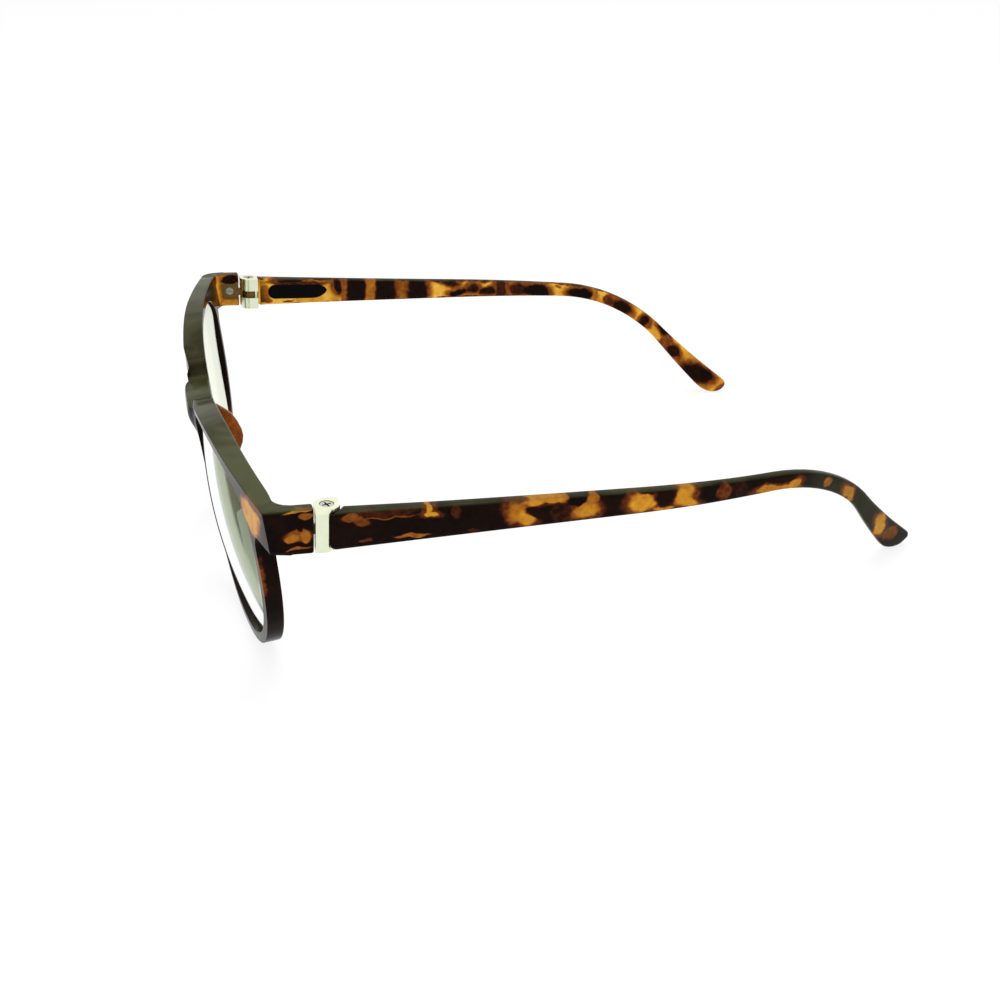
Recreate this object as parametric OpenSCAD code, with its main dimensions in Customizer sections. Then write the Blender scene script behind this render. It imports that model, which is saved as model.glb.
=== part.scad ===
// Round reading sunglasses, open and standing on a table.
// Units are millimetres. X runs to the wearer's left, Y to the rear, Z up.
// The origin lies on the table, under the middle of the glasses.

/* [Overall] */
// distance of each hinge axis from the middle plane
hinge_x = 65.6; // [64.6:0.1:66.6]
// height of the hinge tops above the table
hinge_top = 42.0; // [41.8:0.1:42.4]
// slope of the temples, down towards their tips, in degrees
temple_slope = 4.4; // [4:0.1:4.8]
// forward lean of the front, in degrees
front_lean = 4.0; // [3.5:0.1:4.5]

/* [Front] */
// radius of the bow of the front, seen from above
bow_radius = 267; // [250:1:300]
// radius of the rear of the front
rear_radius = 315; // [305:1:330]
// thickness of the front in the middle
front_thick = 4.6; // [4.4:0.1:4.8]
// width of the rim round each lens opening
rim_face = 2.2; // [2:0.1:2.6]
// distance between the middles of the two rims, halved
rim_mid_x = 34.4; // [34:0.1:34.8]
// half of the outer width of a rim
rim_half_w = 25.4; // [25:0.1:25.8]
// height of the rim below its widest line
rim_drop = 31.1; // [30:0.1:31.3]
// height of the rim above its widest line
rim_rise = 13.5; // [13:0.1:14]

/* [Lenses] */
// radius of the outside of a lens
lens_radius = 90; // [88:1:96]
// thickness of a lens
lens_thick = 1.8; // [1.6:0.1:2]

/* [Temples] */
// thickness of a temple at the hinge
temple_thick = 3.0; // [2.9:0.1:3.1]
// length of the straight part of a temple
straight_len = 88.5; // [86:0.5:91]
// radius of the bend behind the ear
ear_radius = 42; // [40:1:44]
// angle of the bend behind the ear
ear_angle = 42; // [40:1:44]
// radius at which the rear half of a temple curves inwards
wrap_radius = 195; // [180:1:220]

/* [Spring hinges] */
// height of the hinge cap
cap_h = 8; // [7.8:0.1:8.2]
// diameter of the pivot screw's shank
pivot_d = 1.4; // [1.2:0.1:1.4]
// diameter of the slider rod
rod_d = 0.8; // [0.7:0.05:0.8]
// diameter of the spring's wire
wire_d = 0.25; // [0.2:0.01:0.25]
// number of curls in the spring
curls = 13; // [10:1:14]

/* [Hidden] */

$fn = 48;
left = 1;
right = -1;
slack = 0.05;
cut = 1;
overlap = 0.2;

// Place of the hinges and of the front, from the middle of the table rectangle
hinge_y = -57.17;
front_y = hinge_y - 11.35;
front_z = hinge_top + 0.23;

// Front: u runs outwards, d rearwards and v upwards, from the top of the end pieces
end_x = hinge_x + 2.9;
bow_depth = bow_radius - sqrt(bow_radius * bow_radius - 67.5 * 67.5);
rear_taper = 0.8;
rim_mid_v = -10.7;
low_power = 2.4;
high_power = 2.8;
outline_steps = 96;
bridge_out = 1.2;
bridge_deep = 5.6;
bridge_half = 8.8;
bridge_top = -4;
bridge_low = -11;
bridge_round = 6.4;
bridge_mid_v = -6.3;
brow_line = [[0, -4], [7.4, -4], [8.6, -3.6], [9.6, -2], [10.6, -1], [12, -0.4], [15, 0.2],
    [20, 1.2], [29, 2.4], [38, 2.85], [48, 2.5], [58, 1.9], [66, 1.3], [end_x, 1.2]];
end_low = -6.9;

// Lens: its own axis turns outwards with the bow, and its middle stands in front of it
lens_mid_u = 34.5;
lens_mid_v = -17.4;
lens_turn = 6.5;
lens_out = 1.45;
bevel_out = 0.5;
bevel_thick = 0.7;

// Nose pads, as a side outline of depth and height with the front's own axes
pad_line = [[1, -9.6], [4.4, -12.2], [7.2, -15.1], [8.3, -17.4], [8.9, -20.4], [8.6, -22.9],
    [7.5, -25], [5.8, -27], [3.6, -28.6], [1, -29.4]];
pad_x = 7.6;
pad_thick = 2.9;
pad_splay = 8;
pad_spread = 5;

// Hinge, from its own axis at the top of the cap: x outwards, y rearwards, z up
wing_in = 0.5;
wing_out = 2.9;
wing_rear = -2.6;
wing_front = -9.6;
wing_h = 8;
wing_rise = 0.6;
wing_fillet = 2.4;
wing_bend_y = -6.2;
cap_room_len = 3;
leaf_x = [0.55, 1.35];
leaf_y = [-7.3, -2.65];
leaf_z = [-5.8, -1.95];
knuckle_r = 1.6;
knuckle_z = [-5.05, -3.25];
slot_z = [-5.1, -3.2];
tongue_screw_at = [-5.0, -3.9];
tongue_head_d = 2;
tongue_shank_d = 1;
tongue_head_h = 0.4;
tongue_screw_tip = 2.3;
cap_slot_x = [0.35, 1.4];
slot_reach = 4;
cap_outer = 2.9;
cap_front = -2.3;
cap_rear = 2.2;
cap_wall = 1.72;
cap_chamfer = 0.8;
pivot_head_d = 2.4;
pivot_head_h = 0.8;

// Spring, rod, nut and box, on one line inside the temple
rod_x = 0.95;
rod_z = -4.15;
box_y = [5.0, 21.8];
box_h = 4.2;
box_deep = 2.0;
box_bore_d = 1.6;
bore_y = [5.5, 17.6];
curl_r = rod_d / 2 + wire_d / 2 + 0.06;
curl_pitch = 0.75;
curl_rings = 8;
wire_sides = 6;
spring_y = bore_y[0] + wire_d / 2 + 0.02;
spring_len = curls * curl_pitch;
nut_d = 1.4;
nut_len = 1;
nut_y = spring_y + spring_len + wire_d / 2 + 0.05;
rod_len = nut_y + nut_len;

// Temple: a centre line with its heights above and below, and its place across
temple_mid_z = -4.25;
wrap_from = 58;
wrap_to = 112;
toe_in = 0.03;
land_y = 2.4;
nose_y = 0.15;
edge_cut = 0.45;
ring_gap = 3;
even_rings = 46;
// [distance along the temple, height above its centre line, height below it]
temple_heights = [[0, 3.85, 3.65], [34, 2.95, 2.95], [68, 2.25, 2.3], [90, 1.85, 1.85],
    [117, 1.8, 1.8], [121, 1.75, 1.95], [126, 2.0, 2.35], [133, 2.5, 2.75], [139, 3.2, 2.9],
    [141, 3.4, 2.65], [142.4, 3.55, 2.0], [143.4, 3.6, 1.1], [144.1, 3.5, -0.5], [144.5, 3.1, -2]];

function mix(a, b, t) = a + (b - a) * t;

function heights_at(run, i = 0) = let (a = temple_heights[i], b = temple_heights[i + 1])
    run <= b[0] || i + 2 == len(temple_heights)
    ? mix(a, b, (run - a[0]) / (b[0] - a[0])) : heights_at(run, i + 1);

leaf_thick = leaf_x[1] - leaf_x[0];
ear_len = ear_radius * ear_angle * PI / 180;

function turn_at(run) = max(0, min(ear_angle, (run - straight_len) / ear_radius * 180 / PI));

function centre_at(run) = let (turn = turn_at(run), rest = max(0, run - straight_len - ear_len))
    [min(run, straight_len) + ear_radius * sin(turn) + rest * cos(turn),
        temple_mid_z - ear_radius * (1 - cos(turn)) - rest * sin(turn)];

function wrap_in(run) = let (bent = min(run, wrap_to) - wrap_from)
    toe_in * run + (bent <= 0 ? 0
        : (bent * bent / 2 + bent * max(0, run - wrap_to)) / wrap_radius);

function thick_at(run) = run < 20 ? mix(temple_thick, 2.5, run / 20)
    : mix(2.5, 2.2, min(1, (run - 20) / 60));

function temple_ring(run) = let (mid = centre_at(run), turn = turn_at(run), high = heights_at(run),
    out = end_x - hinge_x - wrap_in(run), in = out - thick_at(run), c = edge_cut,
    section = [[out, c - high[2]], [out, high[1] - c], [out - c, high[1]], [in + c, high[1]],
        [in, high[1] - c], [in, c - high[2]], [in + c, -high[2]], [out - c, -high[2]]])
    [for (p = section) [p[0], mid[0] + p[1] * sin(turn), mid[1] + p[1] * cos(turn)]];

temple_runs = concat([for (i = [0:even_rings]) i * ring_gap],
    [for (row = temple_heights) if (row[0] > even_rings * ring_gap) row[0]]);

// closed outline of a rim or lens, made of a low and a high half with their own powers
function round_power(a, power) = sign(a) * pow(abs(a), 2 / power);

function rim_points(half_w, drop, rise) = [for (i = [0:outline_steps - 1])
    let (a = 360 * i / outline_steps, up = sin(a) >= 0, power = up ? high_power : low_power)
    [rim_mid_x + half_w * round_power(cos(a), power),
        rim_mid_v + (up ? rise : drop) * round_power(sin(a), power)]];

// one body of triangles through a list of rings that have the same number of points
function tube_faces(rings, sides) = concat(
    [for (k = [1:sides - 2]) [0, k + 1, k]],
    [for (i = [0:rings - 2], k = [0:sides - 1])
        let (a = i * sides + k, b = i * sides + (k + 1) % sides)
        each [[a, b, b + sides], [a, b + sides, a + sides]]],
    [for (k = [1:sides - 2]) let (z = (rings - 1) * sides) [z, z + k, z + k + 1]]);

module tube(rings) {
    sides = len(rings[0]);
    polyhedron(points = [for (ring = rings) each ring], faces = tube_faces(len(rings), sides));
}

function curl_point(i) = let (a = 360 * i / curl_rings)
    [curl_r * cos(a), i * curl_pitch / curl_rings, curl_r * sin(a)];

function wire_ring(i) = let (here = curl_point(i),
    along = curl_point(i + 1) - curl_point(i - 1),
    out = [here[0], 0, here[2]] / curl_r,
    over = cross(along / norm(along), out))
    [for (k = [0:wire_sides - 1]) let (a = 360 * k / wire_sides)
        here + wire_d / 2 * (out * cos(a) + over * sin(a))];

curl_gap = min([for (i = [curl_rings - 2:curl_rings + 2])
    norm(curl_point(i) - curl_point(0))]) - wire_d;
echo(least_gap_between_curls = curl_gap);

module on_front() {
    translate([0, front_y, front_z]) rotate([front_lean, 0, 0]) children();
}

// hinge axes lean with the temples; the right side is the left side mirrored
module at_hinge(side) {
    translate([side * hinge_x, hinge_y, hinge_top]) rotate([-temple_slope, 0, 0])
        mirror([side < 0 ? 1 : 0, 0, 0]) children();
}

module both_sides() {
    children();
    mirror([1, 0, 0]) children();
}

module through_front() {
    rotate([90, 0, 0]) translate([0, 0, -20]) linear_extrude(40) children();
}

module rim_shape(inset) {
    polygon(rim_points(rim_half_w - inset, rim_drop - inset, rim_rise - inset));
}

module brow_shape() {
    polygon(concat(brow_line, [[end_x, end_low], [64.5, end_low - 0.1],
        [62.3, -8.1], [60.9, -10], [60.3, -12.5], [50, -16], [20, -16], [9.2, -14.5],
        [8, -12.2], [6.5, bridge_low + 0.2], [0, bridge_low]]));
}

module bowed_slab(thick) {
    translate([0, bow_radius - bow_depth, -60]) difference() {
        cylinder(h = 80, r = bow_radius, $fn = 180);
        translate([0, rear_radius + thick - bow_radius, 60]) rotate([-rear_taper, 0, 0])
            translate([0, 0, -80]) cylinder(h = 120, r = rear_radius, $fn = 180);
    }
}

// shell of a lens, from its outer radius inwards, on the lens's own axis
module lens_shell(from, thick) {
    translate([lens_mid_u, bow_y(lens_mid_u), lens_mid_v]) rotate([0, 0, lens_turn])
        translate([0, lens_radius - lens_out, 0]) difference() {
            sphere(r = lens_radius - from, $fn = 120);
            sphere(r = lens_radius - from - thick, $fn = 120);
        }
}

function bow_y(u) = bow_radius - bow_depth - sqrt(bow_radius * bow_radius - u * u);

module lens_body(gap) {
    intersection() {
        lens_shell(-gap, lens_thick + 2 * gap);
        through_front() rim_shape(rim_face - gap + slack);
        translate([0, -bow_depth - 8, -60]) cube([80, 30, 80]);
    }
    intersection() {
        lens_shell((lens_thick - bevel_thick) / 2 - gap, bevel_thick + 2 * gap);
        through_front() rim_shape(rim_face - bevel_out - gap + slack);
        translate([0, -bow_depth - 8, -60]) cube([80, 30, 80]);
    }
}

module nose_pad() {
    translate([pad_x, -bow_depth + 1.2, 0]) rotate([0, 0, -pad_splay]) rotate([0, -pad_spread, 0])
        rotate([90, 0, 90]) linear_extrude(pad_thick) polygon(pad_line);
}

// bar between the rims, with a rounded front
module bridge_bar() {
    intersection() {
        translate([-bridge_half, -bow_depth - bridge_out, bridge_low])
            cube([2 * bridge_half, bridge_deep, bridge_top - bridge_low]);
        translate([-bridge_half, -bow_depth - bridge_out + bridge_round, bridge_mid_v])
            rotate([0, 90, 0]) cylinder(h = 2 * bridge_half, r = bridge_round, $fn = 96);
    }
}

module wing() {
    difference() {
        union() {
            translate([wing_in, wing_front, -wing_h]) linear_extrude(wing_h + wing_rise)
                square([wing_out - wing_in, wing_rear - wing_front]);
            translate([wing_in - wing_fillet, wing_bend_y, -wing_h]) difference() {
                translate([0, wing_front - wing_bend_y, 0])
                    cube([wing_fillet + overlap, wing_bend_y - wing_front, wing_h + wing_rise]);
                translate([0, 0, -cut]) cylinder(h = wing_h + wing_rise + 2 * cut, r = wing_fillet);
            }
        }
        translate([wing_in - wing_fillet - cut, leaf_y[0] - slack, leaf_z[0] - slack])
            cube([wing_fillet + cut + leaf_x[1] + slack - wing_in, cap_room_len - leaf_y[0],
                leaf_z[1] - leaf_z[0] + 2 * slack]);
        screw_line(wing_in, tongue_screw_tip - wing_in, tongue_shank_d);
    }
}

module screw_line(from, length, d) {
    translate([from, tongue_screw_at[0], tongue_screw_at[1]]) rotate([0, 90, 0])
        cylinder(h = length, d = d);
}

module front_frame() {
    color([0.55, 0.32, 0.09]) difference() {
        union() {
            on_front() intersection() {
                bowed_slab(front_thick);
                through_front() difference() {
                    both_sides() union() {
                        brow_shape();
                        rim_shape(0);
                    }
                    both_sides() rim_shape(rim_face);
                }
            }
            on_front() both_sides() difference() {
                intersection() {
                    nose_pad();
                    through_front() translate([8, -60]) square([20, 60]);
                }
                through_front() rim_shape(rim_face);
            }
            on_front() bridge_bar();
            at_hinge(left) wing();
            at_hinge(right) wing();
        }
        on_front() both_sides() lens_body(slack);
    }
}

module lens(side) {
    color([0.25, 0.3, 0.22, 0.6]) on_front() mirror([side < 0 ? 1 : 0, 0, 0]) lens_body(0);
}

module tongue(side) {
    color([0.75, 0.73, 0.68]) at_hinge(side) difference() {
        union() {
            translate([leaf_x[0], leaf_y[0], leaf_z[0]])
                cube([leaf_thick, leaf_y[1] - leaf_y[0], leaf_z[1] - leaf_z[0]]);
            translate([leaf_x[0], leaf_y[1] - cut, knuckle_z[0]])
                cube([leaf_thick, cut - leaf_y[1], knuckle_z[1] - knuckle_z[0]]);
            translate([0, 0, knuckle_z[0]])
                cylinder(h = knuckle_z[1] - knuckle_z[0], r = knuckle_r);
        }
        translate([0, 0, -cap_h]) cylinder(h = cap_h, d = pivot_d + 2 * slack);
        screw_line(-2, 5, tongue_shank_d + 2 * slack);
        screw_line(leaf_x[0] - cut, cut + tongue_head_h, tongue_head_d + 2 * slack);
    }
}

module tongue_screw(side) {
    color([0.6, 0.6, 0.58]) at_hinge(side) difference() {
        union() {
            screw_line(leaf_x[0] - slack, tongue_head_h, tongue_head_d);
            screw_line(leaf_x[0], tongue_screw_tip - leaf_x[0], tongue_shank_d);
        }
        translate([leaf_x[0] - 0.1, tongue_screw_at[0] - 1.5, tongue_screw_at[1] - 0.15])
            cube([0.25, 3, 0.3]);
    }
}

module cap_plan() {
    union() {
        circle(r = -cap_front);
        polygon([[0, cap_front], [cap_outer, cap_front], [cap_outer, -0.1], [2.0, 0.9],
            [0.8, cap_rear], [cap_front, cap_rear], [cap_front, 0]]);
    }
}

module hinge_cap(side) {
    color([0.8, 0.78, 0.72]) at_hinge(side) difference() {
        translate([0, 0, -cap_h]) linear_extrude(cap_h) intersection() {
            cap_plan();
            translate([-3, -3]) square([6, 3 + cap_rear]);
        }
        translate([0, 0, slot_z[0]]) linear_extrude(slot_z[1] - slot_z[0]) {
            circle(r = knuckle_r + slack);
            translate([-slot_reach, -slot_reach]) square([slot_reach + cap_slot_x[1], slot_reach]);
            translate([-slot_reach, -slot_reach]) square([slot_reach + cap_slot_x[0], 2 * slot_reach]);
        }
        translate([0, 0, -cap_h + 0.6]) cylinder(h = cap_h, d = pivot_d);
        translate([0, 0, -pivot_head_h - 0.1]) cylinder(h = 2, d = pivot_head_d + 4 * slack);
        translate([rod_x, cap_wall, rod_z]) rotate([-90, 0, 0]) cylinder(h = 2, d = rod_d);
        translate([cap_outer, 0, 0]) rotate([0, 45, 0])
            cube([cap_chamfer, 8, cap_chamfer], center = true);
    }
}

module pivot_screw(side) {
    color([0.55, 0.55, 0.53]) at_hinge(side) difference() {
        union() {
            translate([0, 0, -pivot_head_h - 0.1]) cylinder(h = pivot_head_h, d = pivot_head_d);
            translate([0, 0, -cap_h + 0.65]) cylinder(h = cap_h - 1.2, d = pivot_d);
        }
        for (turn = [20, 110]) translate([0, 0, -0.1]) rotate([0, 0, turn])
            cube([1.7, 0.35, 0.7], center = true);
    }
}

module along_rod(from, length, d) {
    translate([rod_x, from, rod_z]) rotate([-90, 0, 0]) cylinder(h = length, d = d);
}

module slider_rod(side) {
    color([0.7, 0.7, 0.68]) at_hinge(side) along_rod(cap_wall + 0.02, rod_len - cap_wall, rod_d);
}

module stop_nut(side) {
    color([0.6, 0.6, 0.58]) at_hinge(side) difference() {
        along_rod(nut_y, nut_len, nut_d);
        along_rod(nut_y - cut, nut_len + 2 * cut, rod_d);
    }
}

module spring(side) {
    color([0.62, 0.62, 0.6]) at_hinge(side) translate([rod_x, spring_y, rod_z])
        tube([for (i = [0:curls * curl_rings]) wire_ring(i)]);
}

module box_plan(grow) {
    half = box_h / 2 + grow;
    hull_len = box_y[1] - box_y[0];
    union() {
        translate([box_y[0] + half - grow, 0]) circle(r = half);
        translate([box_y[0] + half - grow, -half]) square([hull_len - 2 * half + grow, 2 * half]);
        translate([box_y[1] - half, 0]) circle(r = half + grow);
    }
}

module box_body(grow) {
    translate([-0.1 - grow - 0.05, 0, rod_z]) rotate([90, 0, 90]) linear_extrude(box_deep + grow)
        box_plan(grow);
}

module spring_box(side) {
    color([0.05, 0.05, 0.05]) at_hinge(side) difference() {
        box_body(0);
        along_rod(bore_y[0], bore_y[1] - bore_y[0], box_bore_d);
        along_rod(box_y[0] - cut, 4, rod_d + 2 * slack);
    }
}

// space kept free in front of the temple for the cap, which turns with it
module cap_room() {
    translate([0, 0, -cap_h - 3]) linear_extrude(cap_h + 6)
        polygon([[-3, -3], [-3, land_y], [0.95, land_y], [2.1, nose_y + 1.05],
            [end_x - hinge_x + 0.01, nose_y], [5, nose_y], [5, -3]]);
}

module temple(side) {
    color([0.5, 0.3, 0.1]) at_hinge(side) difference() {
        tube([for (run = temple_runs) temple_ring(run)]);
        cap_room();
        box_body(slack);
        along_rod(0, 6, rod_d + 2 * slack);
    }
}

front_frame();
lens(left);  // left_lens
lens(right);  // right_lens
tongue(left);  // left_tongue
tongue(right);  // right_tongue
tongue_screw(left);  // left_tongue_screw
tongue_screw(right);  // right_tongue_screw
hinge_cap(left);  // left_hinge_cap
hinge_cap(right);  // right_hinge_cap
pivot_screw(left);  // left_pivot_screw
pivot_screw(right);  // right_pivot_screw
slider_rod(left);  // left_slider_rod
slider_rod(right);  // right_slider_rod
spring(left);  // left_spring
spring(right);  // right_spring
stop_nut(left);  // left_stop_nut
stop_nut(right);  // right_stop_nut
spring_box(left);  // left_spring_box
spring_box(right);  // right_spring_box
temple(left);  // left_temple
temple(right);  // right_temple
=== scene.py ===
"""Round reading sunglasses in tortoiseshell plastic, open and standing on a pale table."""
import bpy
import bmesh
from math import atan2, cos, degrees, pi, radians, sin, sqrt
from mathutils import Matrix, Vector


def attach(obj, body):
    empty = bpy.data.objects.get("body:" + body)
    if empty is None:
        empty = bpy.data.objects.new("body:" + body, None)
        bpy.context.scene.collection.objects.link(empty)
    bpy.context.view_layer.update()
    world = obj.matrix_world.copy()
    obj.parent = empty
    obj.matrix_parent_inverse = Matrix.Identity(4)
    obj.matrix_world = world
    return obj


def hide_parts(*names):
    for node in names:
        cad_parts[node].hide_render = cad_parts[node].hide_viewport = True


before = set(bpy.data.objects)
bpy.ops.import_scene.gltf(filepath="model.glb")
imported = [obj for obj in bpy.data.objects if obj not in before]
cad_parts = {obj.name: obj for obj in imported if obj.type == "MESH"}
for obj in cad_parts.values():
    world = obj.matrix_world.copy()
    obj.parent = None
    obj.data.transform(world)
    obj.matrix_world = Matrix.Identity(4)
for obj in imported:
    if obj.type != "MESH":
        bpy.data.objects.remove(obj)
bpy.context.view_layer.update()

# Sizes in millimetres; those of the main forms are the same as in the solids
MM_PER_METRE = 1000
HINGE = Vector((65.6, -57.17, 42.0))
TEMPLE_SLOPE = radians(4.4)
FRONT_LEAN = radians(4.0)
FRONT_AT = Vector((0.0, HINGE.y - 11.35, HINGE.z + 0.23))
BOW_RADIUS = 267.0
BOW_EDGE = 67.5
BOW_DEPTH = BOW_RADIUS - sqrt(BOW_RADIUS ** 2 - BOW_EDGE ** 2)
REAR_RADIUS = 315.0
FRONT_THICK = 4.6
REAR_TAPER = radians(0.8)
RIM_MID = (34.4, -10.7)
RIM_OUTER = (25.4, 31.1, 13.5)  # half width, drop and rise from the middle
RIM_FACE = 2.2
OPENING = [size - RIM_FACE for size in RIM_OUTER]
LOW_POWER = 2.4
HIGH_POWER = 2.8
END_X = 68.5

SIDES = ("left", "right")
MIRROR = Matrix.Scale(-1, 4, (1, 0, 0))
METRES = Matrix.Scale(1 / MM_PER_METRE, 4)
ON_FRONT = Matrix.Translation(FRONT_AT) @ Matrix.Rotation(FRONT_LEAN, 4, "X")
ON_HINGE = Matrix.Translation(HINGE) @ Matrix.Rotation(-TEMPLE_SLOPE, 4, "X")

# How near two points lie that count as one place, and points that are merged
NEAR = 0.01
MERGE = 0.001


def mix(a, b, t):
    return a + (b - a) * t


def clamp(t):
    return max(0.0, min(1.0, t))


def smooth_through(points, x):
    """Height at x of a smooth line through points that are sorted by x."""
    last = len(points) - 1
    i = 0
    while i < last - 1 and x > points[i + 1][0]:
        i += 1
    (x0, y0), (x1, y1) = points[i], points[i + 1]
    before = points[max(0, i - 1)]
    after = points[min(last, i + 2)]
    slope0 = (y1 - before[1]) / (x1 - before[0])
    slope1 = (after[1] - y0) / (after[0] - x0)
    t = clamp((x - x0) / (x1 - x0))
    wide = x1 - x0
    return ((2 * t ** 3 - 3 * t ** 2 + 1) * y0 + (t ** 3 - 2 * t ** 2 + t) * wide * slope0
            + (3 * t ** 2 - 2 * t ** 3) * y1 + (t ** 3 - t ** 2) * wide * slope1)


def straight_through(points, x):
    """Height at x of straight lines through points that are sorted by x."""
    for (x0, y0), (x1, y1) in zip(points, points[1:]):
        if x <= x1:
            return mix(y0, y1, (x - x0) / (x1 - x0))
    return points[-1][1]


# Making pieces
def add_piece(name, mesh_maker, material, body, stands_for, side=None):
    """Adds a finished piece; mesh_maker gives its mesh in millimetres, left or in the middle."""
    bm = mesh_maker()
    if side == "right":
        bmesh.ops.transform(bm, matrix=MIRROR, verts=bm.verts)
        bmesh.ops.reverse_faces(bm, faces=bm.faces)
    bmesh.ops.transform(bm, matrix=METRES, verts=bm.verts)
    for face in bm.faces:
        face.smooth = True
    mesh = bpy.data.meshes.new(name)
    bm.to_mesh(mesh)
    bm.free()
    piece = bpy.data.objects.new(name, mesh)
    bpy.context.scene.collection.objects.link(piece)
    mesh.materials.append(material)
    if stands_for:
        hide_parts(*stands_for)
    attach(piece, body)


def points_of(made):
    return [g for g in made["geom"] if isinstance(g, bmesh.types.BMVert)]


def edges_of(made):
    return [g for g in made["geom"] if isinstance(g, bmesh.types.BMEdge)]


def sharp_edges(bm, least_angle):
    return [e for e in bm.edges if len(e.link_faces) == 2 and e.calc_face_angle(0) > least_angle]


def drop_faces(bm, faces):
    """Takes faces away, with the edges and points that only they held."""
    bmesh.ops.delete(bm, geom=faces, context="FACES_ONLY")
    bmesh.ops.delete(bm, geom=[e for e in bm.edges if not e.link_faces], context="EDGES")
    bmesh.ops.delete(bm, geom=[v for v in bm.verts if not v.link_faces], context="VERTS")


def ring_tube(bm, corners, count):
    """Makes an open tube of rings, all with the same corners, and returns the rings' points."""
    rings = [bmesh.ops.create_circle(bm, segments=corners, radius=1)["verts"]]
    edges = bm.edges[:]
    for _ in range(count - 1):
        made = bmesh.ops.extrude_edge_only(bm, edges=edges)
        edges = edges_of(made)
        rings.append(points_of(made))
    return rings


def face_outwards(bm):
    """Turns the faces of a closed mesh outwards; inside out, its volume is less than nothing."""
    bmesh.ops.recalc_face_normals(bm, faces=bm.faces)
    if bm.calc_volume(signed=True) < 0:
        bmesh.ops.reverse_faces(bm, faces=bm.faces)


def close_ends(bm):
    bmesh.ops.holes_fill(bm, edges=[e for e in bm.edges if e.is_boundary])
    face_outwards(bm)


def round_edges(bm, edges, size, steps=4):
    bmesh.ops.bevel(bm, geom=edges, offset=size, offset_type="OFFSET", affect="EDGES",
                    segments=steps, profile=0.5, material=-1, clamp_overlap=True)


STRIP_BEND = radians(5)
STRIP_SHARE = 4


def part_narrow_strips(bm):
    """Parts the shading of wide faces from that of the narrow strips that round their edges."""
    for edge in bm.edges:
        if len(edge.link_faces) == 2 and edge.calc_face_angle(0) > STRIP_BEND:
            small, large = sorted(face.calc_area() for face in edge.link_faces)
            edge.smooth = large < STRIP_SHARE * small


# The front: a flat pattern in (u, v) whose third value says which layer a point is on
STATION = 3
STATIONS = [k * STATION for k in range(360 // STATION)]
END_FROM, END_TO = 9, 45
BRIDGE_FROM, BRIDGE_TO = 156, 180
END_U = 61.5
END_FLARE = 0.1
BRIDGE_U = 9.8
FRONT_LAYER, REAR_LAYER, WING_LAYER, POCKET_FRONT, POCKET_BEND = 0, 1, 2, 3, 4
BROW_TOP = [(0, -4), (7.4, -4), (8.6, -3.6), (9.6, -2), (10.6, -1), (12, -0.4), (15, 0.2),
            (20, 1.2), (29, 2.4), (38, 2.85), (48, 2.5), (58, 1.9), (66, 1.3), (68.5, 1.2)]
END_LOW = -7.0
BRIDGE_LOW = [(0, -11), (4, -11), (6.8, -11.1), (8.2, -12.1)]
END_COLUMNS = (62.6, 63.7, 64.3, 64.9, 65.4, 65.8, 66.1, 67.0, 67.8, END_X)
BRIDGE_COLUMNS = (8.9, 8.0, 7.0, 5.8, 4.4, 2.8, 1.4, 0.0)

# The bridge is round in front, and the brow falls back beside it
BRIDGE_OUT = 1.15
BRIDGE_ROUND = 6.4
BRIDGE_MID = -6.3
BULGE_END, BULGE_RUN = 9.2, 4.2
HOLLOW_FROM, HOLLOW_RISE = 7.0, 2.0
HOLLOW_TO, HOLLOW_FALL = 17.0, 6.0
HOLLOW_DEEP = 0.65

# The wings that carry the hinges, with a fillet and a pocket for the tongue inside
WING_FROM = END_U + 0.5
WING_BLEND = 1.7
WING_IN = 66.1
WING_REAR = -2.6
FILLET_FROM = 63.7
FILLET = 2.4
BEND_Y = -6.2
POCKET_FROM = 65.8
POCKET_FLOOR = 67.0
POCKET_Y = -7.38
POCKET_ROWS = (0.25, 0.75)
WING_HEIGHTS = [(0, -8.0), (0.25, -5.85), (0.75, -1.9), (1, 0.65)]

# The right end is rounded more than the left one
CORNER = 3.5
CORNER_FROM = END_X - CORNER

# Edges that meet at more than this are rounded: round the lenses, along the rear, along the front
SHARP = radians(38)
OPENING_ROUND = 0.35
REAR_ROUND = 0.5
FRONT_ROUND = 0.7


def rim_point(a, half_w, drop, rise):
    """Point of a rim's outline at angle a, in degrees."""
    c, s = cos(radians(a)), sin(radians(a))
    power = 2 / (HIGH_POWER if s >= 0 else LOW_POWER)
    across = abs(c) ** power * (1 if c >= 0 else -1)
    up = abs(s) ** power * (rise if s >= 0 else -drop)
    return (RIM_MID[0] + half_w * across, RIM_MID[1] + up)


def brow_at(u):
    return smooth_through(BROW_TOP, u)


def outer_point(a):
    """Point of the front's outer outline that goes with the lens opening's point at angle a."""
    if END_FROM <= a <= END_TO:
        t = (a - END_FROM) / (END_TO - END_FROM)
        return (END_U, mix(END_LOW, brow_at(END_U), t))
    if END_TO < a < BRIDGE_FROM:
        first = rim_point(END_TO, *RIM_OUTER)[0]
        last = rim_point(BRIDGE_FROM, *RIM_OUTER)[0]
        t = (rim_point(a, *RIM_OUTER)[0] - first) / (last - first)
        u = mix(END_U, BRIDGE_U, t)
        return (u, brow_at(u))
    if BRIDGE_FROM <= a <= BRIDGE_TO:
        t = (a - BRIDGE_FROM) / (BRIDGE_TO - BRIDGE_FROM)
        low_u, low_v = BRIDGE_LOW[-1]
        return (mix(BRIDGE_U, low_u, t), mix(brow_at(BRIDGE_U), low_v, t))
    u, v = rim_point(a, *RIM_OUTER)
    if a < END_FROM:
        t = a / END_FROM
        return (mix(u, END_U, t ** 2) + END_FLARE, mix(RIM_MID[1], END_LOW, t))
    return (u, v)


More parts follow.
